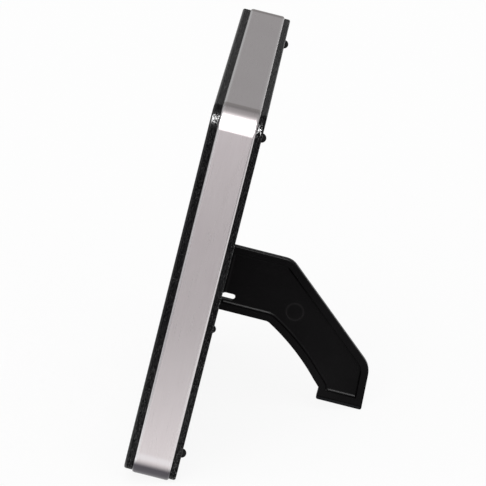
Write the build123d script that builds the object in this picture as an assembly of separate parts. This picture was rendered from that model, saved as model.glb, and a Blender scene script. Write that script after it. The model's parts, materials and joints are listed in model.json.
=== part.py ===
from build123d import *
from math import atan2, cos, degrees, pi, radians, sin, tan
import os

# A digital photo frame that leans back on a bent leg.
# Panel coordinates: x across, y from the front face to the back, z up the panel from its lower edge.
# The leg's hinge runs up the panel, so the leg swings sideways, like a door, into a well in the back.

# Outer shape
panel_width = 224.0
panel_height = 183.0
corner_radius = 10.0
bezel_edge = 3.9  # black edge in front of the metal band
band_width = 18.0
cover_edge = 3.0  # black edge behind the metal band
band_proud = 0.9  # the band stands this far outside both black edges
band_wall = 1.5
band_round = 1.4
rim_round = 1.0  # rounded outer edge of the bezel, the cover and the heel

# Shells
face_wall = 2.2
skirt_wall = 1.8
skirt_gap = 0.15  # between the shells' skirts and the band
skirt_split = 10.6  # depth at which the two skirts meet
split_gap = 0.2

# Display
screen_width = 162.0
screen_height = 121.6
screen_bevel = 1.2
mat_border = 14.0  # raised border round the sunk mat
mat_depth = 0.6
pane_lap = 3.5
pane_thick = 1.2
cell_margin = 6.0  # glass outside the screen opening
cell_thick = 1.4
guide_thick = 3.0
tray_sheet = 0.6
tray_gap = 0.2
led_depth = 2.2
led_gap = 0.3
clip_post_out = 4.2  # post centre outside the tray
clip_post_radius = 3.0
clip_rise = 55.5  # clips above and below the middle
clip_width = 10.0
clip_lap = 5.0
clip_sheet = 1.0

# Case screws
case_boss_side = 12.0  # corner screws, from the panel's sides
case_boss_end = 26.0  # and from its upper and lower edges
case_boss_inset = 11.5  # middle screws, from the upper and lower edges
case_boss_radius = 3.2
case_shank_radius = 1.45
case_screw_length = 10.0
case_head_radius = 2.8
case_head_height = 2.2
case_seat = 2.3  # plastic under the screw head
screw_gap = 0.4
thread_gap = 0.05
counterbore_wall = 1.6
boss_meet = 13.0  # depth at which the bosses of the two shells meet
bore_floor = 2.0

# Small screws
small_shank_radius = 1.2
small_screw_length = 5.0
small_head_radius = 2.3
small_head_height = 1.5
standoff_radius = 2.8

# Leg, along the leg from the panel's back face
leg_thick = 5.0
leg_rim = 3.6
leg_recess = 1.5  # web below the rim
leg_reach = 80.6
heel_flare = 1.2  # heel's lower end beyond the knee
arm_top = 90.6
arm_height = 33.6
elbow_reach = 29.8
leg_slope = 41.1
foot_bottom = 24.55
foot_length = 23.1
toe_height = 5.9
toe_step_out = 3.4
toe_step_up = 3.4
inner_elbow_reach = 25.2
inner_sag = 1.5  # hollow of the leg's underside
elbow_round = 9.0
knee_round = 11.0
inner_round = 4.0
toe_round = 0.9
leg_edge = 0.6
leg_cove = 1.4  # hollow corner between the leg's rim and its web
leg_back_edge = 2.2
leg_back_low_edge = 0.6
pad_thick = 1.5
moulding_slot_start = -0.5
moulding_slot_length = 7.2
moulding_slot_height = 3.4
moulding_slot_rise = 7.2
ejector_reach = 36.9
ejector_height = 64.85
ejector_radius = 4.2
ejector_depth = 0.3

# Hinge and well
hinge_x = 4.3  # hinge axis right of the panel's middle
pin_radius = 1.0
pin_press = 0.02
pin_play = 0.05
pin_anchor = 4.0  # length of pin held in each boss
hinge_sink = 0.3  # folded leg below the back face
stop_gap = 0.3
well_gap = 0.8
well_floor_gap = 0.7
well_wall = 1.8
knuckle_length = 9.0
knuckle_cut_gap = 0.8
washer_thick = 0.5
washer_radius = 2.4
finger_radius = 9.0
finger_height = 36.0

# Rear bumpers
bumper_radius = 2.2
bumper_height = 2.0
bumper_side = 14.6  # from the panel's sides
bumper_end = 12.7  # from its upper and lower edges
bumper_stem = 1.5
bumper_hole_gap = 0.1
bumper_barb = 2.0
bumper_barb_thick = 0.8

# Keyhole hangers
hanger_side = 50.0  # from the panel's sides
hanger_drop = 27.0  # below the keys
hanger_sheet = 1.2
hanger_width = 26.0
hanger_margin = 4.0
keyhole_radius = 4.0
keyhole_slot = 4.4
keyhole_rise = 9.0
hanger_window_gap = 1.5
hanger_peg_radius = 1.2
hanger_peg_gap = 0.1
hanger_peg_side = 10.3

# Main board and its ports
board_left = 6.0  # from the panel's left side
board_width = 76.0
board_low = 40.0
board_height = 78.0
board_thick = 1.6
board_depth = 11.0  # board's front face
board_hole_side = 6.0  # board holes from its right edge
board_hole_end = 6.0
board_hole_pitch = 43.0
board_chips = (  # centre left of the board's right edge, centre above its lower edge, width, height, thickness
    (22.0, 48.0, 18.0, 18.0, 1.6),
    (34.0, 26.0, 13.0, 11.0, 1.2),
    (14.0, 22.0, 10.0, 8.0, 1.2),
    (58.0, 22.0, 7.0, 7.0, 3.2),
)
battery_left = 32.0
battery_up = 66.0
battery_radius = 6.25
battery_thick = 2.5
port_mouth_gap = 0.2  # socket mouths behind the band's inner face
port_gap = 0.6  # window round each socket
port_corner = 1.0
card_port_space = 5.4  # over the USB socket
card_width = 28.0
card_thick = 3.0
card_depth = 27.0
card_slot_width = 24.6
card_slot_thick = 2.2
card_slot_depth = 22.0
usb_port_space = 10.9  # over the power jack
usb_width = 13.2
usb_thick = 5.8
usb_depth = 14.0
usb_shell = 0.5
usb_cavity = 9.0
usb_tongue = 1.9
usb_tongue_gap = 0.6
power_port_height = 52.0
power_size = 9.0
power_depth = 13.0
power_bore = 3.1
power_bore_depth = 9.5
power_pin = 1.0
power_pin_sink = 2.9  # pin's tip behind the mouth

# Keys
key_names = ("power", "menu", "left", "right", "enter", "exit")
key_side = 29.0  # last key, from the panel's right side
key_top = 28.0  # keys below the panel's upper edge
key_pitch = 9.0
key_radius = 3.2
key_gap = 0.25
key_dish = 0.8
key_dish_margin = 2.4
key_sink = 0.3  # key face below the back face
key_flange = 0.9
key_flange_thick = 0.8
key_seat_gap = 0.05
key_stem_radius = 1.6
key_stem_length = 1.8
key_travel = 0.5
key_free_gap = 0.1  # pressed key to switch plunger
key_round = 0.4
switch_size = 6.0
switch_thick = 3.5
plunger_radius = 1.7
plunger_length = 0.5
key_board_thick = 1.2
key_board_end = 3.0  # board beyond its standoff centres
key_board_height = 10.0
key_standoff_gap = 0.5  # from the end keys' flanges

# Vents
vent_count = 11
vent_pitch = 5.0
vent_width = 2.2
vent_length = 12.0
vent_side = 49.0  # middle of the vents, from the panel's left side

# Cables
lead_radius = 1.1
lead_bend = 5.0
plug_width = 8.0
plug_length = 4.0
plug_thick = 4.5
ribbon_width = 24.0
ribbon_thick = 0.3
ribbon_height = 70.0
ribbon_lap = 16.0
ribbon_socket_length = 5.0

# Values that follow
panel_depth = bezel_edge + band_width + cover_edge
band_back = bezel_edge + band_width
middle = panel_height / 2
cover_inner = panel_depth - face_wall
skirt_inset = band_wall + skirt_gap
pane_back = face_wall + pane_thick
cell_back = pane_back + cell_thick
guide_back = cell_back + guide_thick
tray_back = guide_back + tray_sheet
cell_width = screen_width + 2 * cell_margin
cell_height = screen_height + 2 * cell_margin
tray_width = cell_width + 2 * (tray_gap + tray_sheet)
clip_post_side = tray_width / 2 + clip_post_out
case_seat_depth = boss_meet + split_gap + case_seat
counterbore_radius = case_head_radius + screw_gap
case_boss_ends = (case_boss_inset, panel_height - case_boss_inset)
case_boss_x = panel_width / 2 - case_boss_side
case_boss_heights = (case_boss_end, panel_height - case_boss_end)
case_bosses = [(side * case_boss_x, z) for side in (-1, 1) for z in case_boss_heights]
case_bosses += [(0, z) for z in case_boss_ends]
clip_heights = (middle - clip_rise, middle + clip_rise)
clip_posts = [(side * clip_post_side, z) for side in (-1, 1) for z in clip_heights]
half_leg = leg_thick / 2
web_side = half_leg - leg_recess
hinge_depth = panel_depth - hinge_sink - half_leg
hinge_to_back = panel_depth - hinge_depth
arm_bottom = arm_top - arm_height
arm_middle = arm_bottom + arm_height / 2
well_floor = hinge_depth - half_leg - well_floor_gap
well_top = arm_top + well_gap
well_bottom = arm_bottom - well_gap
heel_run = hinge_to_back + leg_reach  # heel from the hinge axis
toe_run = heel_run - foot_length
leg_sole = foot_bottom + pad_thick
board_back = board_depth + board_thick
board_x = -panel_width / 2 + board_left + board_width / 2
board_right = board_x + board_width / 2
board_top = board_low + board_height
board_hole_x = (board_right - board_hole_side, board_right - board_hole_side - board_hole_pitch)
board_holes = [(x, z) for x in board_hole_x for z in (board_low + board_hole_end, board_top - board_hole_end)]
port_mouth = -panel_width / 2 + band_wall + port_mouth_gap
usb_port_height = power_port_height + power_size / 2 + usb_port_space + usb_width / 2
card_port_height = usb_port_height + usb_width / 2 + card_port_space + card_width / 2
key_height = panel_height - key_top
key_last = panel_width / 2 - key_side
key_first = key_last - (len(key_names) - 1) * key_pitch
key_places = [key_first + number * key_pitch for number in range(len(key_names))]
key_middle = (key_first + key_last) / 2
key_back = panel_depth - key_sink
key_flange_back = cover_inner - key_seat_gap
key_stem_end = key_flange_back - key_flange_thick - key_stem_length
plunger_end = key_stem_end - key_travel - key_free_gap
switch_back = plunger_end - plunger_length
key_board_back = switch_back - switch_thick
key_board_front = key_board_back - key_board_thick
key_standoff = key_radius + key_flange + key_standoff_gap + standoff_radius
key_board_width = key_last - key_first + 2 * (key_standoff + key_board_end)
key_holes = [(key_first - key_standoff, key_height), (key_last + key_standoff, key_height)]
hanger_x = panel_width / 2 - hanger_side
hanger_height = key_height - hanger_drop
vent_middle = vent_side - panel_width / 2
lead_start = board_right - board_hole_side - plug_width
lead_depth = (key_board_front + key_board_back) / 2

# The panel leans until the cover's rounded edge and the heel both touch the table.
lean = degrees(atan2(foot_bottom - band_proud, leg_reach))


def slab(sketch, front, back):
    """Solid of an x-z sketch between two depths."""
    return extrude(Plane.XZ.offset(-back) * sketch, back - front)


def rod(x, z, radius, front, back):
    """Round bar along y."""
    return slab(Pos(x, z) * Circle(radius), front, back)


def block(x_low, x_high, front, back, z_low, z_high):
    """Box between six planes."""
    shape = Pos((x_low + x_high) / 2, (z_low + z_high) / 2) * Rectangle(x_high - x_low, z_high - z_low)
    return slab(shape, front, back)


def outline(inset):
    """Rounded panel outline, moved inward."""
    shape = RectangleRounded(panel_width - 2 * inset, panel_height - 2 * inset, corner_radius - inset)
    return Pos(0, middle) * shape


def screen_outline(margin):
    """Rectangle round the screen opening."""
    return Pos(0, middle) * Rectangle(screen_width + 2 * margin, screen_height + 2 * margin)


def soften(face, radius):
    """Round the edges of one face of a solid."""
    return fillet(face.edges(), radius)


def screw(x, z, seat, length, shank_radius, head_radius, head_height, toward_back):
    """Pan head screw along y: the head lies behind its seat, or in front of it."""
    side = 1 if toward_back else -1
    shank_ends = sorted((seat, seat - side * length))
    head_ends = sorted((seat, seat + side * head_height))
    shank = rod(x, z, shank_radius, *shank_ends)
    head = rod(x, z, head_radius, *head_ends)
    drive = rod(x, z, shank_radius, *sorted((seat + side * head_height / 2, seat + side * head_height)))
    return shank + head - drive


def port_shapes(margin):
    """The three socket outlines in the y-z plane, each with a margin."""
    ports = [
        (card_port_height, card_width, card_thick),
        (usb_port_height, usb_width, usb_thick),
        (power_port_height, power_size, power_size),
    ]
    shapes = []
    for height, width, thick in ports:
        shape = RectangleRounded(thick + 2 * margin, width + 2 * margin, port_corner)
        shapes.append(Pos(board_back + thick / 2, height) * shape)
    return shapes


def port_windows():
    """Cutters for the sockets through the left side."""
    reach = panel_width / 2 - board_left
    plane = Plane.YZ.offset(-panel_width / 2 - band_wall)
    depth = panel_width / 2 + band_wall - reach + skirt_wall
    return [extrude(plane * shape, depth) for shape in port_shapes(port_gap)]


def make_front_bezel():
    """Front shell with a sunk mat round the screen."""
    lip = slab(outline(band_proud), 0, bezel_edge)
    lip = soften(lip.faces().sort_by(Axis.Y)[0], rim_round)
    shell = lip + slab(outline(skirt_inset), bezel_edge, skirt_split - split_gap)
    shell -= slab(outline(skirt_inset + skirt_wall), face_wall, skirt_split)
    mat = Pos(0, middle) * RectangleRounded(
        panel_width - 2 * (band_proud + mat_border),
        panel_height - 2 * (band_proud + mat_border),
        corner_radius / 2,
    )
    shell -= extrude(Plane.XZ.offset(-mat_depth) * mat, mat_depth, taper=-30)
    wide = Plane.XZ.offset(-mat_depth) * screen_outline(screen_bevel)
    narrow = Plane.XZ.offset(-mat_depth - screen_bevel) * screen_outline(0)
    shell -= loft([wide.face(), narrow.face()])
    shell -= slab(screen_outline(0), mat_depth, face_wall)
    for x, z in case_bosses:
        shell += rod(x, z, case_boss_radius, face_wall, boss_meet)
        bore_front = case_seat_depth - case_screw_length - bore_floor
        shell -= rod(x, z, case_shank_radius + thread_gap, bore_front, boss_meet)
    for x, z in clip_posts:
        shell += rod(x, z, clip_post_radius, face_wall, tray_back)
        bore_front = tray_back + clip_sheet - small_screw_length - thread_gap
        shell -= rod(x, z, small_shank_radius + thread_gap, bore_front, tray_back)
    return shell


def make_trim_band():
    """Metal band, rounded on both outer edges, with windows for the sockets."""
    band = slab(outline(0), bezel_edge, band_back)
    band = soften(band.faces().sort_by(Axis.Y)[0], band_round)
    band = soften(band.faces().sort_by(Axis.Y)[-1], band_round)
    band -= slab(outline(band_wall), bezel_edge, band_back)
    for window in port_windows():
        band -= window
    return band


def leg_outline():
    """Side of the leg: along the leg from the hinge axis, and up the panel."""
    knee_run = heel_run - heel_flare
    elbow_point = (hinge_to_back + elbow_reach, arm_top)
    knee = arm_top - tan(radians(leg_slope)) * (knee_run - elbow_point[0])
    knee_point = (knee_run, knee)
    toe_top = (toe_run, foot_bottom + toe_height)
    step = (toe_run - toe_step_out, foot_bottom + toe_height + toe_step_up)
    inner = (hinge_to_back + inner_elbow_reach, arm_bottom)
    upper = Polyline((0, arm_bottom), (0, arm_top), elbow_point, knee_point)
    lower = Polyline(knee_point, (heel_run, leg_sole), (toe_run, leg_sole), toe_top, step)
    underside = SagittaArc(step, inner, -inner_sag)
    shape = make_face(upper + lower + underside + Line(inner, (0, arm_bottom)))
    rounds = [
        (elbow_point, elbow_round),
        (knee_point, knee_round),
        (inner, inner_round),
        (toe_top, toe_round),
    ]
    for point, radius in rounds:
        corner = shape.vertices().sort_by_distance(Vector(*point))[0]
        shape = fillet(corner, radius)
    return shape


def pad_outline():
    """Side of the soft pad under the foot."""
    pad = Rectangle(foot_length, pad_thick, align=(Align.MAX, Align.MIN))
    pad = Pos(heel_run, foot_bottom) * pad
    return fillet(pad.vertices().group_by(Axis.Y)[0], rim_round)


def on_hinge(solid):
    """Place a leg piece, drawn from the hinge axis, at its hinge."""
    return Pos(hinge_x, hinge_depth, 0) * solid


def leg_slab(sketch, low, high):
    """Solid of a leg sketch between two x positions."""
    return extrude(Plane.YZ.offset(low) * sketch, high - low)


def is_upper(edge):
    """True for an edge of the leg above the line from the arm's upper end to the heel."""
    spot = edge.center()
    return spot.Z > arm_top + (leg_sole - arm_top) * spot.Y / heel_run


def make_stand_leg():
    """Bent leg with a sunk web on its right side, and two hinge knuckles at its root."""
    side = leg_outline()
    leg = leg_slab(side, -half_leg, half_leg)
    front_rim = leg.faces().sort_by(Axis.X)[-1].edges()
    leg = fillet(front_rim.filter_by(lambda edge: edge.center().Y > leg_edge), leg_edge)
    for upper, radius in ((True, leg_back_edge), (False, leg_back_low_edge)):
        back_rim = leg.faces().sort_by(Axis.X)[0].edges()
        outer = back_rim.filter_by(lambda edge: edge.center().Y > leg_edge)
        outer = outer.filter_by(lambda edge: edge.center().Z > leg_sole + leg_edge)
        leg = fillet(outer.filter_by(lambda edge: is_upper(edge) == upper), radius)
    beyond_root = Pos(hinge_to_back, 0) * Rectangle(
        leg_reach, panel_height, align=(Align.MIN, Align.MIN)
    )
    hollow = offset(side, -leg_rim) & beyond_root
    pocket = leg_slab(hollow, web_side, half_leg)
    pocket_floor = pocket.faces().sort_by(Axis.X)[0].edges()
    leg -= fillet(pocket_floor.filter_by(lambda edge: edge.center().Y > hinge_to_back), leg_cove)
    leg += Pos(0, 0, arm_middle) * Cylinder(half_leg, arm_height)
    knuckle_cut = Pos(0, 0, arm_middle) * Box(
        leg_thick, 2 * half_leg, arm_height - 2 * knuckle_length, align=(Align.CENTER, Align.MAX, Align.CENTER)
    )
    leg -= Pos(0, pin_radius + knuckle_cut_gap, 0) * knuckle_cut
    leg -= Pos(0, 0, arm_middle) * Cylinder(pin_radius + pin_play, arm_height)
    slot = Pos(hinge_to_back + moulding_slot_start, arm_bottom + moulding_slot_rise) * RectangleRounded(
        moulding_slot_length, moulding_slot_height, moulding_slot_height / 3, align=(Align.MIN, Align.CENTER)
    )
    leg -= leg_slab(slot, -half_leg, half_leg)
    mark = Pos(hinge_to_back + ejector_reach, ejector_height) * Circle(ejector_radius)
    leg -= leg_slab(mark, web_side - ejector_depth, web_side)
    return on_hinge(leg)


def make_foot_pad():
    """Soft strip glued under the foot."""
    return on_hinge(leg_slab(pad_outline(), -half_leg, half_leg))


def well_outline(margin):
    """The folded leg's outline on the panel, with room round it and for a fingertip."""
    shape = offset(leg_outline() + pad_outline(), well_gap + margin)
    left = -half_leg - stop_gap - margin
    root = Rectangle(-left, well_top - well_bottom + 2 * margin, align=(Align.MIN, Align.MIN))
    shape += Pos(left, well_bottom - margin) * root
    shape += Pos(heel_run + well_gap, finger_height) * Circle(finger_radius + margin)
    return Pos(hinge_x, 0) * shape


def keyhole_window(x):
    """Long window over a keyhole, wide enough for the screw head."""
    radius = keyhole_radius + hanger_window_gap
    window = SlotCenterToCenter(keyhole_rise, 2 * radius, rotation=90)
    return Pos(x, hanger_height + keyhole_rise / 2) * window


def make_rear_cover():
    """Rear shell with the leg's well, its hinge bosses and all the openings of the back."""
    lip = slab(outline(band_proud), band_back, panel_depth)
    lip = soften(lip.faces().sort_by(Axis.Y)[-1], rim_round)
    shell = lip + slab(outline(skirt_inset), skirt_split, band_back)
    shell -= slab(outline(skirt_inset + skirt_wall), skirt_split, cover_inner)
    shell += slab(well_outline(well_wall), well_floor - well_wall, cover_inner)
    boss_side = half_leg + stop_gap
    boss_front = hinge_depth - half_leg
    for low, high in ((well_bottom - pin_anchor, well_bottom), (well_top, well_top + pin_anchor)):
        shell += block(hinge_x - boss_side, hinge_x + boss_side, boss_front, cover_inner, low, high)
    shell -= slab(well_outline(0), well_floor, panel_depth)
    pin_length = well_top - well_bottom + 2 * pin_anchor
    pin_hole = Cylinder(pin_radius + pin_press, pin_length)
    shell -= Pos(hinge_x, hinge_depth, (well_top + well_bottom) / 2) * pin_hole
    for x, z in case_bosses:
        shell += rod(x, z, counterbore_radius + counterbore_wall, boss_meet + split_gap, cover_inner)
        shell -= rod(x, z, counterbore_radius, case_seat_depth, panel_depth)
        shell -= rod(x, z, case_shank_radius + screw_gap, boss_meet, case_seat_depth)
    for side in (-1, 1):
        for z in (bumper_end, panel_height - bumper_end):
            x = side * (panel_width / 2 - bumper_side)
            shell -= rod(x, z, bumper_stem + bumper_hole_gap, cover_inner, panel_depth)
        shell -= slab(keyhole_window(side * hanger_x), cover_inner, panel_depth)
        for peg in (-1, 1):
            x = side * hanger_x + peg * hanger_peg_side
            z = hanger_height + keyhole_rise / 2
            shell += rod(x, z, hanger_peg_radius, cover_inner - 2 * hanger_sheet, cover_inner)
    for x, z in board_holes:
        shell += rod(x, z, standoff_radius, board_back, cover_inner)
        bore_back = board_depth + small_screw_length + thread_gap
        shell -= rod(x, z, small_shank_radius + thread_gap, board_back, bore_back)
    for x, z in key_holes:
        shell += rod(x, z, standoff_radius, key_board_back, cover_inner)
        bore_back = key_board_front + small_screw_length + thread_gap
        shell -= rod(x, z, small_shank_radius + thread_gap, key_board_back, bore_back)
    dish_radius = key_radius + key_dish_margin
    dish = SlotCenterToCenter(key_last - key_first, 2 * dish_radius)
    shell -= slab(Pos(key_middle, key_height) * dish, panel_depth - key_dish, panel_depth)
    for x in key_places:
        shell -= rod(x, key_height, key_radius + key_gap, cover_inner, panel_depth)
    vents = [
        Pos(vent_middle + (number - (vent_count - 1) / 2) * vent_pitch, key_height)
        * SlotOverall(vent_length, vent_width, rotation=90)
        for number in range(vent_count)
    ]
    for vent in vents:
        shell -= slab(vent, cover_inner, panel_depth)
    for window in port_windows():
        shell -= window
    return shell


def make_hinge_pin():
    """Steel pin through both knuckles, pressed into the cover's bosses."""
    length = well_top - well_bottom + 2 * pin_anchor
    return Pos(hinge_x, hinge_depth, (well_top + well_bottom) / 2) * Cylinder(pin_radius, length)


def make_hinge_washers():
    """One washer between each knuckle and the wall of the well."""
    washers = []
    for z in ((arm_top + well_top) / 2, (arm_bottom + well_bottom) / 2):
        washer = Cylinder(washer_radius, washer_thick) - Cylinder(pin_radius + pin_play, washer_thick)
        washers.append(Pos(hinge_x, hinge_depth, z) * washer)
    return washers


def make_rear_bumpers():
    """Four domed bumpers, each with a stem and a barb behind the cover's wall."""
    centre = (bumper_height**2 - bumper_radius**2) / (2 * bumper_height)
    tip = (0, bumper_height)
    dome_radius = bumper_height - centre
    start = atan2(-centre, bumper_radius)
    halfway = (start + pi / 2) / 2
    bulge = (dome_radius * cos(halfway), centre + dome_radius * sin(halfway))
    dome = ThreePointArc((bumper_radius, 0), bulge, tip)
    stem = Polyline(
        tip,
        (0, -face_wall - bumper_barb_thick),
        (bumper_barb, -face_wall - bumper_barb_thick),
        (bumper_barb, -face_wall),
        (bumper_stem, -face_wall),
        (bumper_stem, 0),
        (bumper_radius, 0),
    )
    bumper = revolve(Plane.XY * make_face(dome + stem), Axis.Y)
    places = []
    for side in (-1, 1):
        for z in (bumper_end, panel_height - bumper_end):
            places.append((side * (panel_width / 2 - bumper_side), panel_depth, z))
    return [Pos(*place) * bumper for place in places]


def make_screen_pane():
    """Clear pane behind the bezel's opening."""
    return slab(screen_outline(pane_lap), face_wall, pane_back)


def make_lcd_cell():
    """Glass of the display."""
    return slab(screen_outline(cell_margin), pane_back, cell_back)


def make_light_guide():
    """Clear plate behind the glass, stopped short of the lamp strip below it."""
    low = middle - cell_height / 2 + led_depth + led_gap
    high = middle + cell_height / 2
    return block(-cell_width / 2, cell_width / 2, cell_back, guide_back, low, high)


def make_led_strip():
    """Lamp strip along the lower edge of the light guide."""
    low = middle - cell_height / 2
    return block(-cell_width / 2, cell_width / 2, cell_back, guide_back, low, low + led_depth)


def make_lcd_tray():
    """Folded sheet tray that holds the display together."""
    tray = slab(screen_outline(cell_margin + tray_gap + tray_sheet), pane_back, tray_back)
    return tray - slab(screen_outline(cell_margin + tray_gap), pane_back, guide_back)


def make_panel_clips():
    """Flat clips from the bezel's posts over the edge of the tray."""
    clips = []
    for x, z in clip_posts:
        side = 1 if x > 0 else -1
        inner = side * (tray_width / 2 - clip_lap)
        outer = side * (clip_post_side + clip_post_radius)
        low, high = sorted((inner, outer))
        clip = block(low, high, tray_back, tray_back + clip_sheet, z - clip_width / 2, z + clip_width / 2)
        clips.append(clip - rod(x, z, small_shank_radius + thread_gap, tray_back, tray_back + clip_sheet))
    return clips


def small_screw(x, z, seat, toward_back):
    """One of the small screws."""
    return screw(x, z, seat, small_screw_length, small_shank_radius, small_head_radius,
                 small_head_height, toward_back)


def make_clip_screws():
    """Screws through the clips into the bezel's posts."""
    return [small_screw(x, z, tray_back + clip_sheet, True) for x, z in clip_posts]


def make_case_screws():
    """Screws from the back that hold the two shells together."""
    return [
        screw(x, z, case_seat_depth, case_screw_length, case_shank_radius, case_head_radius,
              case_head_height, True)
        for x, z in case_bosses
    ]


def make_board_screws():
    """Screws that hold the main board and the key board to the cover."""
    screws = [small_screw(x, z, board_depth, False) for x, z in board_holes]
    return screws + [small_screw(x, z, key_board_front, False) for x, z in key_holes]


def make_main_board():
    """Main circuit board on the cover's standoffs."""
    board = block(board_x - board_width / 2, board_right, board_depth, board_back, board_low, board_top)
    for x, z in board_holes:
        board -= rod(x, z, small_shank_radius + screw_gap, board_depth, board_back)
    return board


def make_board_parts():
    """Chips, coils and plug sockets on the main board."""
    pieces = []
    for left, up, width, height, thick in board_chips:
        x = board_right - left
        z = board_low + up
        pieces.append(
            block(x - width / 2, x + width / 2, board_back, board_back + thick, z - height / 2, z + height / 2)
        )
    plug_low = board_top - board_hole_end - plug_length
    pieces.append(
        block(lead_start - plug_width / 2, lead_start + plug_width / 2, board_back, board_back + plug_thick,
              plug_low, plug_low + plug_length)
    )
    pieces.append(
        block(board_right - ribbon_socket_length, board_right, tray_back + clip_sheet, board_depth,
              ribbon_height - ribbon_width / 2, ribbon_height + ribbon_width / 2)
    )
    return pieces


def make_clock_battery():
    """Coin cell on the main board."""
    x = board_right - battery_left
    return rod(x, board_low + battery_up, battery_radius, board_back, board_back + battery_thick)


def socket_block(height, width, thick, depth):
    """Body of a socket on the board, with its mouth at the left side."""
    return block(port_mouth, port_mouth + depth, board_back, board_back + thick,
                 height - width / 2, height + width / 2)


def make_card_socket():
    """Memory card socket."""
    body = socket_block(card_port_height, card_width, card_thick, card_depth)
    slot_front = board_back + (card_thick - card_slot_thick) / 2
    return body - block(port_mouth, port_mouth + card_slot_depth, slot_front, slot_front + card_slot_thick,
                        card_port_height - card_slot_width / 2, card_port_height + card_slot_width / 2)


def make_usb_socket():
    """Flat socket: a thin shell round a contact tongue."""
    body = socket_block(usb_port_height, usb_width, usb_thick, usb_depth)
    half = usb_width / 2 - usb_shell
    body -= block(port_mouth, port_mouth + usb_cavity, board_back + usb_shell, board_back + usb_thick - usb_shell,
                  usb_port_height - half, usb_port_height + half)
    tongue_front = board_back + usb_shell + usb_tongue_gap
    tongue = half - usb_tongue_gap
    return body + block(port_mouth + usb_tongue_gap, port_mouth + usb_cavity, tongue_front,
                        tongue_front + usb_tongue, usb_port_height - tongue, usb_port_height + tongue)


def make_power_jack():
    """Round supply inlet with its centre pin."""
    body = socket_block(power_port_height, power_size, power_size, power_depth)
    axis = Plane(origin=(port_mouth, board_back + power_size / 2, power_port_height), z_dir=(1, 0, 0))
    body -= extrude(axis * Circle(power_bore), power_bore_depth)
    return body + extrude(axis.offset(power_pin_sink) * Circle(power_pin), power_bore_depth - power_pin_sink)


def make_key_board():
    """Narrow board behind the keys."""
    board = block(key_middle - key_board_width / 2, key_middle + key_board_width / 2, key_board_front,
                  key_board_back, key_height - key_board_height / 2, key_height + key_board_height / 2)
    for x, z in key_holes:
        board -= rod(x, z, small_shank_radius + screw_gap, key_board_front, key_board_back)
    return board


def make_key_switches():
    """A square switch with a round plunger behind each key."""
    half = switch_size / 2
    switches = []
    for x in key_places:
        body = block(x - half, x + half, key_board_back, switch_back, key_height - half, key_height + half)
        switches.append(body + rod(x, key_height, plunger_radius, switch_back, plunger_end))
    return switches


def make_button(x):
    """Key cap: a round face, a flange behind the cover's wall and a stem."""
    cap = rod(x, key_height, key_radius, key_flange_back, key_back)
    cap = soften(cap.faces().sort_by(Axis.Y)[-1], key_round)
    flange_front = key_flange_back - key_flange_thick
    flange = rod(x, key_height, key_radius + key_flange, flange_front, key_flange_back)
    return cap + flange + rod(x, key_height, key_stem_radius, key_stem_end, flange_front)


def make_hanger(x):
    """Steel plate with a keyhole, seated on two pegs inside the cover."""
    low = hanger_height - keyhole_radius - hanger_margin
    high = hanger_height + keyhole_rise + keyhole_slot / 2 + hanger_margin
    half = hanger_width / 2
    front = cover_inner - hanger_sheet
    plate = block(x - half, x + half, front, cover_inner, low, high)
    plate -= rod(x, hanger_height, keyhole_radius, front, cover_inner)
    slot = Pos(x, hanger_height + keyhole_rise / 2) * SlotCenterToCenter(keyhole_rise, keyhole_slot, rotation=90)
    plate -= slab(slot, front, cover_inner)
    for peg in (-1, 1):
        place = x + peg * hanger_peg_side
        plate -= rod(place, hanger_height + keyhole_rise / 2, hanger_peg_radius + hanger_peg_gap, front, cover_inner)
    return plate


def make_panel_cable():
    """Ribbon from the tray to the socket on the board's front."""
    tray_level = tray_back + ribbon_thick / 2
    board_level = (tray_back + clip_sheet + board_depth) / 2
    line = Polyline(
        (board_right, board_level),
        (board_right + ribbon_socket_length, board_level),
        (board_right + 2 * ribbon_socket_length, tray_level),
        (board_right + 2 * ribbon_socket_length + ribbon_lap, tray_level),
    )
    band = trace(line, ribbon_thick)
    return Pos(0, 0, ribbon_height - ribbon_width / 2) * extrude(band, ribbon_width)


def make_key_cable():
    """Round lead from the main board's plug socket up to the key board."""
    start_z = board_top - board_hole_end
    turn_z = (start_z + key_height) / 2
    points = [
        (lead_start, lead_depth, start_z),
        (lead_start, lead_depth, turn_z),
        (0, lead_depth, turn_z),
        (0, lead_depth, key_height),
        (key_middle - key_board_width / 2, lead_depth, key_height),
    ]
    path = FilletPolyline(*points, radius=lead_bend)
    section = Plane(origin=points[0], z_dir=(0, 0, 1)) * Circle(lead_radius)
    return sweep(section, path=path)


def build_parts():
    """Every node of the frame, in panel coordinates."""
    parts = {
        "front_bezel": make_front_bezel(),
        "trim_band": make_trim_band(),
        "rear_cover": make_rear_cover(),
        "stand_leg": make_stand_leg(),
        "foot_pad": make_foot_pad(),
        "hinge_pin": make_hinge_pin(),
        "hinge_washers": make_hinge_washers(),
        "rear_bumpers": make_rear_bumpers(),
        "screen_pane": make_screen_pane(),
        "lcd_cell": make_lcd_cell(),
        "light_guide": make_light_guide(),
        "led_strip": make_led_strip(),
        "lcd_tray": make_lcd_tray(),
        "panel_clips": make_panel_clips(),
        "clip_screws": make_clip_screws(),
        "case_screws": make_case_screws(),
        "board_screws": make_board_screws(),
        "main_board": make_main_board(),
        "board_parts": make_board_parts(),
        "clock_battery": make_clock_battery(),
        "card_socket": make_card_socket(),
        "usb_socket": make_usb_socket(),
        "power_jack": make_power_jack(),
        "key_board": make_key_board(),
        "key_switches": make_key_switches(),
        "hanger_left": make_hanger(-hanger_x),
        "hanger_right": make_hanger(hanger_x),
        "panel_cable": make_panel_cable(),
        "key_cable": make_key_cable(),
    }
    for name, x in zip(key_names, key_places):
        parts["button_" + name] = make_button(x)
    return parts


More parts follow.
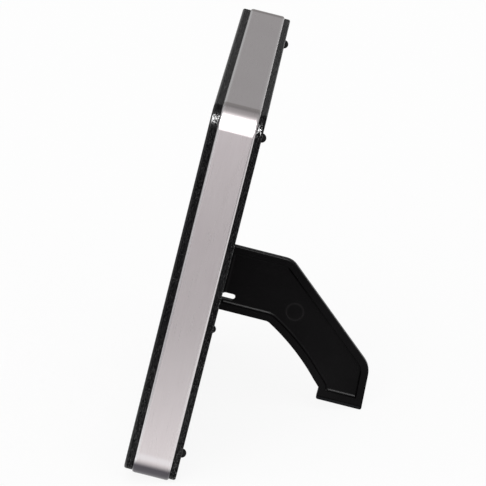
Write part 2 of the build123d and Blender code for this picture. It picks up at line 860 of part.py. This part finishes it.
def standing_place(parts):
    """Location that leans the panel back and stands it on the table, centred."""
    leaning = Rot(X=-lean)
    solids = []
    for shape in parts.values():
        solids += shape if isinstance(shape, list) else [shape]
    box = Compound(children=[leaning * solid for solid in solids]).bounding_box()
    return Pos(-box.center().X, -box.center().Y, -box.min.Z) * leaning


os.makedirs("parts", exist_ok=True)
parts = build_parts()
place = standing_place(parts)
for name, shape in parts.items():
    whole = Compound(shape) if isinstance(shape, list) else shape
    export_step(place * whole, "parts/" + name + ".step")
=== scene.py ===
import json
import math

import bpy
import numpy as np
from mathutils import Matrix, Vector


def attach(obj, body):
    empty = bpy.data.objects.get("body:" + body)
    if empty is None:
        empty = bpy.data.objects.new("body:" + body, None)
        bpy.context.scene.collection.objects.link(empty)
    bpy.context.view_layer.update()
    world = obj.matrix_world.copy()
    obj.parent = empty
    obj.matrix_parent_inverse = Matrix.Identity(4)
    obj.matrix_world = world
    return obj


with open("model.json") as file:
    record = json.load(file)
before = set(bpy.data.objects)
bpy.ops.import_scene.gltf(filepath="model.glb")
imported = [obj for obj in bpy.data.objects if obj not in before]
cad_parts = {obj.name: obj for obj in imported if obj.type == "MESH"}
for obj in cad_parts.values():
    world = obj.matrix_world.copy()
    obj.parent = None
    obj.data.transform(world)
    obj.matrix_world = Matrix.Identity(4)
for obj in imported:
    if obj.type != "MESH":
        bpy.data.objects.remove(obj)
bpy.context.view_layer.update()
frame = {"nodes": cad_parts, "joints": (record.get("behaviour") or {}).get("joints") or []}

# The looks of a digital photo frame that leans back on a bent leg. Lengths are in metres.

nodes = frame["nodes"]

# Panel coordinates: x across, y from the front face to the back, z up the panel from its lower edge
hinge_x = 0.0043
hinge_depth = 0.0221
hinge_height = 0.0738
fold = next(joint for joint in frame["joints"] if joint["name"] == "leg_fold")
lean = math.atan2(-fold["axis"][1], -fold["axis"][2])
leaning = Matrix.Rotation(-lean, 3, "X")
panel_origin = Vector(fold["pos_m"]) - leaning @ Vector((hinge_x, hinge_depth, hinge_height))

# Sizes of the CAD model that the finishes and the small pieces follow
panel_width = 0.224
panel_height = 0.183
corner_radius = 0.01
band_front = 0.0039
band_width = 0.018
band_back = band_front + band_width
band_round = 0.0014
screen_width = 0.162
screen_height = 0.1216
key_first = 0.038
key_pitch = 0.009
key_height = 0.155
key_face = 0.0246
port_mouth = -0.1103
usb_height = 0.074
usb_tongue_face = 0.0156
card_height = 0.1
card_slot_face = 0.013
mould_mark = (0, 0.0618, 0.06485)
mould_mark_radius = 0.0042

# Finish of the band: smoother along its edges, with a painted highlight there, a painted dark reflection
# where the top starts to bend, and a painted dull reflection on its lowest bend
brush_fine = (60, 6500, 60)  # lumps a metre along each axis of the panel
brush_broad = (45, 2200, 45)
polish_and_highlight_full = 0.0006  # from the band's edge
polish_and_highlight_end = band_round + 0.0004
bend_line = panel_width / 2 - corner_radius - 0.0016  # from the panel's middle, to both sides
bend_reach = 0.004
bend_full = 0.0006
bend_low = 0.09  # the painted dark reflection at the bend shows only on the upper corners
bend_high = 0.1
lip_height = 0.0114  # painted highlight: a pale line over the painted dull part
lip_reach = 0.0024
lip_full = 0.0004
under_shade_start = 0.0098  # below this height the band's colour turns to a painted dull reflection
under_shade_full = under_shade_start - 0.0036

# Finish of the moulded pieces
facet_scale = 2900  # facets a metre in the sparkle of the two shells
facet_index = 2.0
facet_roughness = 0.2
bezel_face_coat = 0.4
bezel_side_start = 0.0006  # from the front face
bezel_side_full = 0.0012
ring_reach = 0.0007  # to both sides of the mould mark's edge, where a paler ring is a painted highlight
ring_full = 0.0002

# Display and boards
display_columns = 800
display_border_start = 0.0008  # outside the picture area
display_border_full = 0.0012
track_scale = 520  # tracks a metre

# Key marks, round the middle of a key, and contacts
mark_line = 0.00032
mark_thick = 0.00004
mark_sink = 0.00001
mark_reach = 0.0012
mark_step = 0.0008
arrow_back = 0.0007
arrow_half = 0.001
ring_radius = 0.001
bar_half = 0.0011
stem_low = 0.0005
stem_high = 0.0016
contact_width = 0.001
contact_thick = 0.0001
usb_rows = (-0.0035, -0.001, 0.001, 0.0035)
usb_contact = (0.0014, 0.0078)  # start and end, in from the port's mouth
card_rows = np.linspace(-0.01, 0.01, 9)
card_contact = (0.011, 0.02)

# Camera at the photograph's viewing angle
camera_target = panel_origin + Vector((0, 0.05331, 0.079205))
camera_distance = 1.69495
camera_azimuth = math.radians(4.42)  # from +X toward +Y
camera_elevation = math.radians(15.806)
camera_roll = math.radians(-2.746)
camera_lens = 256.2
camera_sensor = 36.0

# Floor: white round the object, grey as painted shade further toward +X, where the camera is and where the
# band's side reflects it, and pale again beyond that
floor_half = 6.0
floor_steps = 9
floor_white = (1, 1, 1, 1)
floor_painted_shade = (0.36, 0.35, 0.36, 1)
floor_pale = (0.75, 0.74, 0.75, 1)
floor_painted_shade_start = 0.15
floor_painted_shade_full = 0.41
floor_pale_start = 0.55
floor_pale_full = 1.6
floor_glow = 0.9  # share of the floor's white that doesn't depend on the lamps

# Room: its parts are placed by the X and Y of a direction of length 1
room_level = 0.43
soft_box_level = 2.1  # added over the room on the side where the camera stands
soft_box_start = -0.25
soft_box_full = 0.95
soft_box_middle = 0.1
soft_box_side = 0.7
soft_box_side_full = 0.4
overhead_dip = 0.2  # taken from the room in a strip on the far side
overhead_middle = -0.8
overhead_side = 0.16
overhead_side_full = 0.03

# Lamp for glints
glint_distance = 1.9
glint_elevation = math.radians(38)
glint_size = (1.2, 1.4)
glint_radiance = 28.0


class Sock:
    """Output of a material node. Sums, products and remainders on it add Math nodes to its tree."""

    def __init__(self, tree, output):
        self.tree = tree
        self.output = output

    def node(self, kind, settings=None, inputs=None, out=0):
        """Add a node of a type: its settings first, then the values or links of its sockets."""
        made = self.tree.nodes.new(kind)
        for name, value in (settings or {}).items():
            setattr(made, name, value)
        for name, value in (inputs or {}).items():
            if isinstance(value, Sock):
                self.tree.links.new(value.output, made.inputs[name])
            else:
                made.inputs[name].default_value = value
        return Sock(self.tree, made.outputs[out]) if made.outputs else None

    def maths(self, operation, first, second):
        """Math node on two values."""
        return self.node("ShaderNodeMath", {"operation": operation}, {0: first, 1: second})

    def __add__(self, other):
        return self.maths("ADD", self, other)

    def __radd__(self, other):
        return self.maths("ADD", other, self)

    def __sub__(self, other):
        return self.maths("SUBTRACT", self, other)

    def __rsub__(self, other):
        return self.maths("SUBTRACT", other, self)

    def __mul__(self, other):
        return self.maths("MULTIPLY", self, other)

    def __rmul__(self, other):
        return self.maths("MULTIPLY", other, self)

    def __mod__(self, other):
        return self.maths("FLOORED_MODULO", self, other)

    def __abs__(self):
        return self.maths("ABSOLUTE", self, 0)


def colour(red, green, blue):
    """Screen colour from 0 to 255, as the linear colour that a socket takes."""
    parts = np.array((red, green, blue)) / 255
    linear = np.where(parts <= 0.04045, parts / 12.92, ((parts + 0.055) / 1.055) ** 2.4)
    return (*linear.tolist(), 1.0)


def coordinates(tree, kind):
    """Empty a node tree and start it with one kind of coordinates."""
    tree.nodes.clear()
    return Sock(tree, None).node("ShaderNodeTexCoord", out=kind)


def start(name):
    """New empty material, and its Object coordinates."""
    material = bpy.data.materials.new(name)
    material.use_nodes = True
    return material, coordinates(material.node_tree, "Object")


def shade(place, inputs):
    """Principled shader on the material's surface."""
    shader = place.node("ShaderNodeBsdfPrincipled", None, inputs)
    place.node("ShaderNodeOutputMaterial", None, {"Surface": shader})


def on_panel(place):
    """Object coordinates moved and turned into the panel's."""
    upright = Matrix.Rotation(lean, 3, "X")
    return place.node("ShaderNodeMapping", None, {
        "Vector": place, "Location": -(upright @ panel_origin), "Rotation": (lean, 0, 0)})


def stretched(place, scale):
    """Coordinates multiplied along each axis."""
    return place.node("ShaderNodeMapping", None, {"Vector": place, "Scale": scale})


def along(place, axis):
    """One of the three coordinates."""
    return place.node("ShaderNodeSeparateXYZ", None, {"Vector": place}, out="XYZ".index(axis))


def grain(place, scale, detail=2.0, roughness=0.5):
    """Noise from 0 to 1, as many lumps a metre as its scale."""
    return place.node("ShaderNodeTexNoise", None, {
        "Vector": place, "Scale": scale, "Detail": detail, "Roughness": roughness})


def rise(value, low, high, bottom=0.0, top=1.0):
    """Smooth step from one value to another between two limits."""
    return value.node("ShaderNodeMapRange", {"interpolation_type": "SMOOTHSTEP"}, {
        "Value": value, "From Min": low, "From Max": high, "To Min": bottom, "To Max": top})


def off_middle(value, middle, none, full):
    """Smooth step on how far a value lies from a middle: 0 at one distance and 1 at the other."""
    return rise(abs(value - middle), none, full)


def blend(factor, first, second):
    """Mix of two colours."""
    return factor.node("ShaderNodeMix", {"data_type": "RGBA"}, {0: factor, 6: first, 7: second}, out=2)


def relief(height, strength, distance):
    """Normal of a surface with small heights on it."""
    return height.node("ShaderNodeBump", None, {"Height": height, "Strength": strength, "Distance": distance})


def clouded(place, scale, base, pale):
    """Soft clouds from 0 to 1, and a colour that goes with them from one tone to another."""
    clouds = grain(place, scale, 4.0, 0.6)
    return clouds, blend(rise(clouds, 0.3, 0.75), colour(*base), colour(*pale))


def specks(place):
    """Small specks of dust."""
    return rise(grain(place, 2200, 1.0), 0.6, 0.76)


def facets(place):
    """Small smooth facets of a spark texture, where a coat shows."""
    return rise(grain(place, facet_scale, 1.0), 0.57, 0.67)


def brushed_band():
    """Brushed metal: fine lines along the band, smoother edges with a painted highlight, and painted
    reflections on its bends: dark where the top starts to bend, dull on the lowest bend with a pale line over
    it.
    """
    material, place = start("band_brushed_metal")
    panel = on_panel(place)
    across = along(panel, "X")
    depth = along(panel, "Y")
    up = along(panel, "Z")
    fine = grain(stretched(panel, brush_fine), 1.0, 3.0, 0.6)
    broad = grain(stretched(panel, brush_broad), 1.0, 2.0)
    brush = fine * 0.6 + broad * 0.4
    clouds = grain(panel, 22, 3.0)
    front_edge = rise(depth, band_front + polish_and_highlight_full, band_front + polish_and_highlight_end, 1.0, 0.0)
    back_edge = rise(depth, band_back - polish_and_highlight_end, band_back - polish_and_highlight_full)
    edge = front_edge + back_edge * 0.4
    painted_bend_shade = off_middle(abs(across), bend_line, bend_reach, bend_full) * rise(up, bend_low, bend_high)
    painted_lip_highlight = off_middle(up, lip_height, lip_reach, lip_full)
    body = blend(rise(brush, 0.25, 0.75), colour(199, 192, 193), colour(204, 198, 199))
    body = blend(rise(clouds, 0.35, 0.75) * 0.25, body, colour(190, 181, 184))
    # Painted highlight along the band's front and back edges, where they are also smoother
    body = blend(edge * 0.85, body, colour(244, 242, 243))
    # Painted dark reflection along the line where the top starts to bend
    body = blend(painted_bend_shade * 0.62, body, colour(120, 108, 104))
    # Painted highlight: a pale line over the dull lowest bend
    body = blend(painted_lip_highlight * 0.4, body, colour(226, 224, 227))
    shade(place, {
        # Painted dull reflection of the shade under the panel, on the lowest bend
        "Base Color": blend(rise(up, under_shade_start, under_shade_full), body, colour(84, 81, 86)),
        "Metallic": 1.0,
        "Roughness": 0.255 + brush * 0.05 - edge * 0.1,
        "Normal": relief(brush, 0.007, 0.0002),
    })
    return material


def moulded(name, base, pale, roughness, lumps, depth, index=1.4, dust=0.05, sparkle=False):
    """Moulded plastic: a fine texture, faint clouds, a little dust in its colour, and sparkle where asked."""
    material, place = start(name)
    texture = grain(place, lumps, 3.0, 0.6)
    clouds, tone = clouded(place, 40, base, pale)
    finish = {
        "Base Color": blend(specks(place) * dust, tone, colour(120, 120, 122)),
        "Roughness": roughness + (clouds - 0.5) * 0.12 + (texture - 0.5) * 0.1,
        "IOR": index,
        "Normal": relief(texture, 0.25, depth),
    }
    if sparkle:
        finish["Coat Weight"] = facets(place)
        finish["Coat Roughness"] = facet_roughness
        finish["Coat IOR"] = facet_index
    shade(place, finish)
    return material


def bezel_plastic():
    """Black front shell: a polished face, and a fine spark texture on the sides."""
    material, place = start("bezel_gloss_black")
    side = rise(along(on_panel(place), "Y"), bezel_side_start, bezel_side_full)
    texture = grain(place, 2400, 3.0, 0.6)
    clouds, tone = clouded(place, 30, (5, 5, 6), (12, 12, 13))
    shade(place, {
        "Base Color": blend(specks(place) * side * 0.14, tone, colour(110, 110, 112)),
        "Roughness": 0.10 + clouds * 0.06 + side * (0.14 + texture * 0.16),
        "IOR": 1.06,
        "Coat Weight": (1 - side) * bezel_face_coat + side * facets(place),
        "Coat Roughness": facet_roughness,
        "Coat IOR": facet_index,
        "Normal": relief(texture * side, 0.3, 0.00003),
    })
    return material


def leg_plastic():
    """Smooth black moulding: faint clouds, and a painted highlight as a paler ring round the mould mark."""
    material, place = start("leg_moulded_black")
    texture = grain(place, 900, 3.0, 0.6)
    clouds, tone = clouded(place, 40, (5, 4, 5), (10, 9, 10))
    flat = stretched(on_panel(place), (0, 1, 1))
    reach = place.node("ShaderNodeVectorMath", {"operation": "DISTANCE"}, {0: flat, 1: mould_mark}, out=1)
    ring = off_middle(reach, mould_mark_radius, ring_reach, ring_full)
    shade(place, {
        # Painted highlight: a paler ring on the mould mark's edge
        "Base Color": blend(ring * (0.1 + clouds * 0.6), tone, colour(40, 38, 39)),
        "Roughness": 0.3 + (clouds - 0.5) * 0.12 + (texture - 0.5) * 0.1,
        "IOR": 1.14,
        "Normal": relief(texture, 0.2, 0.00003),
    })
    return material


def soft_rubber(name, base, pale, index):
    """Matt rubber with a fine skin."""
    material, place = start(name)
    skin = grain(place, 5200, 2.0)
    clouds = grain(place, 120, 3.0)
    shade(place, {
        "Base Color": blend(rise(clouds, 0.3, 0.7), colour(*base), colour(*pale)),
        "Roughness": 0.52 + skin * 0.2,
        "IOR": index,
        "Normal": relief(skin, 0.3, 0.00005),
    })
    return material


def plated(name, base, pale, roughness, lumps):
    """Plated or ground metal: mottled, with fine scratches in one direction."""
    material, place = start(name)
    mottle = grain(place, lumps, 4.0, 0.6)
    scratches = grain(stretched(place, (3000, 200, 200)), 1.0, 2.0)
    shade(place, {
        "Base Color": blend(rise(mottle, 0.3, 0.7), colour(*base), colour(*pale)),
        "Metallic": 1.0,
        "Roughness": roughness + mottle * 0.12 + scratches * 0.1,
        "Normal": relief(scratches, 0.1, 0.00005),
    })
    return material


def clear_plate():
    """Clear acrylic with the faintest dust."""
    material, place = start("pane_clear_acrylic")
    dust = rise(grain(place, 900, 2.0), 0.66, 0.8)
    shade(place, {
        "Base Color": blend(dust * 0.1, (1, 1, 1, 1), (0.86, 0.87, 0.88, 1)),
        "Roughness": 0.02 + dust * 0.1,
        "IOR": 1.49,
        "Transmission Weight": 1.0,
    })
    return material


def inside_screen(value, middle, size):
    """1 on the display's picture area along one axis, and 0 on its border."""
    return off_middle(value, middle, size / 2 + display_border_full, size / 2 + display_border_start)


def display_cell():
    """Dark display glass, switched off: three-colour cells in a black mask, and a black border."""
    material, place = start("display_dark_glass")
    panel = on_panel(place)
    across = along(panel, "X")
    up = along(panel, "Z")
    cells = display_columns / screen_width
    in_cell = (across * cells) % 1.0
    in_row = (up * cells) % 1.0
    third = (in_cell * 3.0) % 1.0
    open_cell = off_middle(third, 0.5, 0.42, 0.38) * off_middle(in_row, 0.5, 0.44, 0.40)
    inside = inside_screen(across, 0, screen_width) * inside_screen(up, panel_height / 2, screen_height)
    red = rise(in_cell, 0.33, 0.34, 1.0, 0.0)
    blue = rise(in_cell, 0.66, 0.67)
    dye = blend(blue, blend(red, colour(24, 34, 28), colour(38, 26, 26)), colour(24, 28, 40))
    shade(place, {
        "Base Color": blend(open_cell * inside, colour(9, 9, 11), dye),
        "Roughness": 0.22 + grain(place, 6000, 1.0) * 0.1,
        "IOR": 1.45,
    })
    return material


def tracks_along(panel, axis):
    """Parallel tracks side by side along one axis, each three fifths of its pitch wide."""
    return off_middle((along(panel, axis) * track_scale) % 1.0, 0.5, 0.18, 0.22)


def board_mask():
    """Green solder mask with faint tracks under it, which run across in some patches and up in the others."""
    material, place = start("board_green_mask")
    panel = on_panel(place)
    patch = rise(grain(panel, 90, 1.0), 0.48, 0.52)
    tracks = tracks_along(panel, "X") * patch + tracks_along(panel, "Z") * (1 - patch)
    shade(place, {
        "Base Color": blend(tracks * 0.5, colour(24, 84, 52), colour(40, 112, 68)),
        "Roughness": 0.35 + grain(place, 1500, 2.0) * 0.15,
        "Normal": relief(tracks, 0.15, 0.00005),
    })
    return material


def dress(material, *names):
    """Put a material in every slot of some CAD nodes."""
    for name in names:
        for slot in nodes[name].material_slots:
            slot.material = material


def add_object(name, data):
    """New object in the scene."""
    made = bpy.data.objects.new(name, data)
    bpy.context.scene.collection.objects.link(made)
    return made


def panel_place(points):
    """Points in panel coordinates, turned and moved into the frame that all pieces share."""
    return points @ np.array(leaning.transposed()) + np.array(panel_origin)


def ribbon(path, width, closed):
    """Edges of a flat ribbon: each point of a path, moved half the width to both sides.

    The way to the side is the mean of the two neighbouring runs' normals, lengthened to a mitre.
    """
    steps = np.diff(path, axis=0, append=path[:1])
    steps /= np.linalg.norm(steps, axis=1, keepdims=True)
    if not closed:
        steps[-1] = steps[-2]
    after = np.stack((-steps[:, 1], steps[:, 0]), axis=-1)
    before = np.roll(after, 1, axis=0)
    if not closed:
        before[0] = after[0]
    turn = 1 + np.sum(before * after, axis=1, keepdims=True)
    side = (before + after) / turn * width / 2
    return np.stack((path - side, path + side), axis=1)


def add_ribbons(name, body, material, lines, middle, width, thick):
    """Thin flat ribbons on a face toward the back: paths round a middle, seen from the back.

    Each run between two points of a path is one quad, and the thickness grows outward.
    """
    points = []
    faces = []
    for path, closed in lines:
        edges = ribbon(np.array(path, dtype=float), width, closed)
        count = len(edges)
        first = len(points)
        corner = first + np.arange(2 * count).reshape(count, 2)
        following = np.roll(corner, -1, axis=0)
        quads = np.stack((corner[:, 0], following[:, 0], following[:, 1], corner[:, 1]), axis=-1)
        faces += quads[:count if closed else count - 1].tolist()
        flat = edges.reshape(-1, 2)
        points += np.stack((-flat[:, 0], np.zeros(2 * count), flat[:, 1]), axis=-1).tolist()
    mesh = bpy.data.meshes.new(name)
    mesh.from_pydata(panel_place(np.array(points) + np.array(middle)).tolist(), [], faces)
    mesh.materials.append(material)
    piece = add_object(name, mesh)
    shell = piece.modifiers.new("thickness", "SOLIDIFY")
    shell.thickness = thick
    shell.offset = 1.0
    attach(piece, body)


def arc(radius, first, last, count=24):
    """Points on a circle between two angles in degrees."""
    turn = np.radians(np.linspace(first, last, count))
    return np.stack((radius * np.cos(turn), radius * np.sin(turn)), axis=-1)


def key_marks():
    """Lines of each key's mark: paths round the key's middle, and whether each one is closed."""
    arrow = np.array(((mark_reach, 0), (-arrow_back, arrow_half), (-arrow_back, -arrow_half)))
    bars = [(((-bar_half, up), (bar_half, up)), False) for up in (-mark_step, 0, mark_step)]
    slants = [(((-mark_step, -up), (mark_step, up)), False) for up in (-mark_step, mark_step)]
    return {
        "power": [(arc(mark_reach, 125, 415), False), (((0, stem_low), (0, stem_high)), False)],
        "menu": bars,
        "left": [(-arrow, True)],
        "right": [(arrow, True)],
        "enter": [(arc(ring_radius, 0, 345), True)],
        "exit": slants,
    }


def add_key_marks(material):
    """One printed mark on each key cap, moving with it."""
    for number, (name, lines) in enumerate(key_marks().items()):
        middle = (key_first + number * key_pitch, key_face - mark_sink, key_height)
        add_ribbons(
            f"mark_{name}", f"{name}_button", material, lines, middle, mark_line, mark_thick)


def add_contacts(name, material, middle, rows, ends):
    """Row of flat contacts inside a socket, each along the way in."""
    lines = [(((-ends[0], up), (-ends[1], up)), False) for up in rows]
    add_ribbons(name, "panel", material, lines, middle, contact_width, contact_thick)


def add_camera():
    """Camera round its target by azimuth, elevation and distance, turned about its own line of sight."""
    flat = math.cos(camera_elevation)
    toward = Vector((
        flat * math.cos(camera_azimuth), flat * math.sin(camera_azimuth), math.sin(camera_elevation)))
    data = bpy.data.cameras.new("camera")
    data.lens = camera_lens
    data.sensor_width = camera_sensor
    camera = add_object("camera", data)
    aim = (-toward).to_track_quat("-Z", "Y").to_matrix() @ Matrix.Rotation(camera_roll, 3, "Z")
    camera.matrix_world = Matrix.Translation(camera_target + toward * camera_distance) @ aim.to_4x4()
    bpy.context.scene.camera = camera


def add_glint_light():
    """Flat lamp that faces the object and only adds glints. Its power is pi times brightness and area."""
    width, height = glint_size
    data = bpy.data.lights.new("glint_light", "AREA")
    data.shape = "RECTANGLE"
    data.size = width
    data.size_y = height
    data.energy = glint_radiance * math.pi * width * height
    lamp = add_object("glint_light", data)
    lamp.visible_diffuse = False
    toward = Vector((math.cos(glint_elevation), 0, math.sin(glint_elevation)))
    aim = (-toward).to_track_quat("-Z", "Y").to_matrix()
    lamp.matrix_world = Matrix.Translation(camera_target + toward * glint_distance) @ aim.to_4x4()


def floor_paper():
    """Pale paper, grey along X as painted shade and pale again further out. Most of its white shows whatever
    the lamps do.
    """
    material, place = start("floor_pale_paper")
    away = along(place, "X")
    # Painted shade: grey on the floor toward +X, which the band's side reflects
    paper = blend(rise(away, floor_painted_shade_start, floor_painted_shade_full), floor_white, floor_painted_shade)
    paper = blend(rise(away, floor_pale_start, floor_pale_full), paper, floor_pale)
    lit = place.node("ShaderNodeBsdfDiffuse", None, {"Color": paper})
    white = place.node("ShaderNodeEmission", None, {"Color": paper, "Strength": 1.0})
    direct = place.node("ShaderNodeLightPath", out="Is Camera Ray")
    mirrored = place.node("ShaderNodeLightPath", out="Is Glossy Ray")
    through = place.node("ShaderNodeLightPath", out="Is Transmission Ray")
    seen = direct + mirrored + through
    surface = place.node("ShaderNodeMixShader", None, {0: seen * floor_glow, 1: lit, 2: white})
    place.node("ShaderNodeOutputMaterial", None, {"Surface": surface})
    return material


def add_floor():
    """Flat square sheet of paper: an even grid of quads at height 0."""
    steps = np.linspace(-floor_half, floor_half, floor_steps)
    across, away = np.meshgrid(steps, steps, indexing="ij")
    points = np.stack((across, away, np.zeros_like(across)), axis=-1).reshape(-1, 3)
    corner = np.arange(floor_steps ** 2).reshape(floor_steps, floor_steps)
    quads = np.stack((corner[:-1, :-1], corner[1:, :-1], corner[1:, 1:], corner[:-1, 1:]), axis=-1)
    mesh = bpy.data.meshes.new("floor")
    mesh.from_pydata(points.tolist(), [], quads.reshape(-1, 4).tolist())
    mesh.materials.append(floor_paper())
    add_object("floor", mesh)


def add_room():
    """Even grey room with one large soft box on the camera's side and a darker strip on the far side."""
    world = bpy.data.worlds.new("room")
    world.use_nodes = True
    toward = coordinates(world.node_tree, "Generated")
    sideways = along(toward, "X")
    soft_box = rise(sideways, soft_box_start, soft_box_full) * off_middle(
        along(toward, "Y"), soft_box_middle, soft_box_side, soft_box_side_full)
    overhead = off_middle(sideways, overhead_middle, overhead_side, overhead_side_full)
    level = room_level + soft_box * soft_box_level - overhead * overhead_dip
    light = toward.node("ShaderNodeBackground", None, {"Color": (1, 1, 1, 1), "Strength": level})
    toward.node("ShaderNodeOutputWorld", None, {"Surface": light})
    bpy.context.scene.world = world


# Camera, floor and light
add_camera()
add_floor()
add_room()
add_glint_light()
bpy.context.scene.view_settings.view_transform = "Standard"

# Finishes of the pieces that show most
dress(brushed_band(), "trim_band")
dress(bezel_plastic(), "front_bezel")
cover_plastic = moulded(
    "cover_satin_black", (5, 5, 6), (12, 12, 13), 0.32, 3000, 0.00003, index=1.06, dust=0.14, sparkle=True)
dress(cover_plastic, "rear_cover")
dress(leg_plastic(), "stand_leg")
dress(soft_rubber("foot_soft_black", (10, 10, 12), (17, 17, 20), 1.12), "foot_pad")
dress(soft_rubber("bumper_soft_black", (6, 6, 7), (12, 12, 13), 1.2), "rear_bumpers")
dress(clear_plate(), "screen_pane", "light_guide")
dress(display_cell(), "lcd_cell")
dress(board_mask(), "main_board", "key_board")

# Metals: two tones, roughness, lumps a metre, and the nodes that have the finish
tray_nodes = ("lcd_tray", "panel_clips", "hanger_left", "hanger_right")
metals = {
    "pin_ground_steel": ((150, 150, 152), (190, 190, 192), 0.2, 300, ("hinge_pin", "hinge_washers")),
    "sheet_zinc_steel": ((150, 152, 156), (196, 198, 202), 0.25, 260, tray_nodes),
    "screw_plated_steel": ((160, 160, 164), (205, 205, 208), 0.18, 700, ("clip_screws", "board_screws")),
    "screw_black_steel": ((44, 44, 46), (70, 70, 73), 0.28, 900, ("case_screws",)),
    "socket_tin_steel": ((165, 165, 168), (208, 208, 210), 0.22, 400, ("card_socket", "usb_socket")),
    "battery_bright_steel": ((180, 180, 183), (216, 216, 218), 0.14, 300, ("clock_battery",)),
}
for finish_name, (*finish, dressed) in metals.items():
    dress(plated(finish_name, *finish), *dressed)

# Plastics: two tones, roughness, lumps a metre, their depth, and the nodes that have the finish
key_nodes = [name for name in nodes if name.startswith("button_")]
plastics = {
    "chip_matt_black": ((34, 34, 36), (48, 48, 50), 0.5, 3000, 0.00004, ("board_parts", "key_switches")),
    "jack_nylon_black": ((26, 26, 28), (38, 38, 40), 0.42, 2600, 0.00004, ("power_jack",)),
    "lamp_white_plastic": ((222, 220, 208), (236, 235, 226), 0.45, 1800, 0.00004, ("led_strip",)),
    "ribbon_white_film": ((214, 213, 206), (230, 229, 224), 0.38, 1200, 0.00002, ("panel_cable",)),
    "lead_grey_jacket": ((84, 85, 88), (104, 105, 108), 0.46, 1600, 0.00004, ("key_cable",)),
    "key_satin_black": ((24, 24, 26), (34, 34, 37), 0.36, 3200, 0.00003, key_nodes),
}
for finish_name, (*finish, dressed) in plastics.items():
    dress(moulded(finish_name, *finish), *dressed)

# Small pieces
add_key_marks(moulded("mark_pale_print", (196, 196, 194), (214, 214, 212), 0.5, 4000, 0.00001))
gilt = plated("contact_gilt", (196, 160, 84), (222, 188, 112), 0.2, 900)
add_contacts("usb_contacts", gilt, (port_mouth, usb_tongue_face, usb_height), usb_rows, usb_contact)
add_contacts("card_contacts", gilt, (port_mouth, card_slot_face, card_height), card_rows, card_contact)
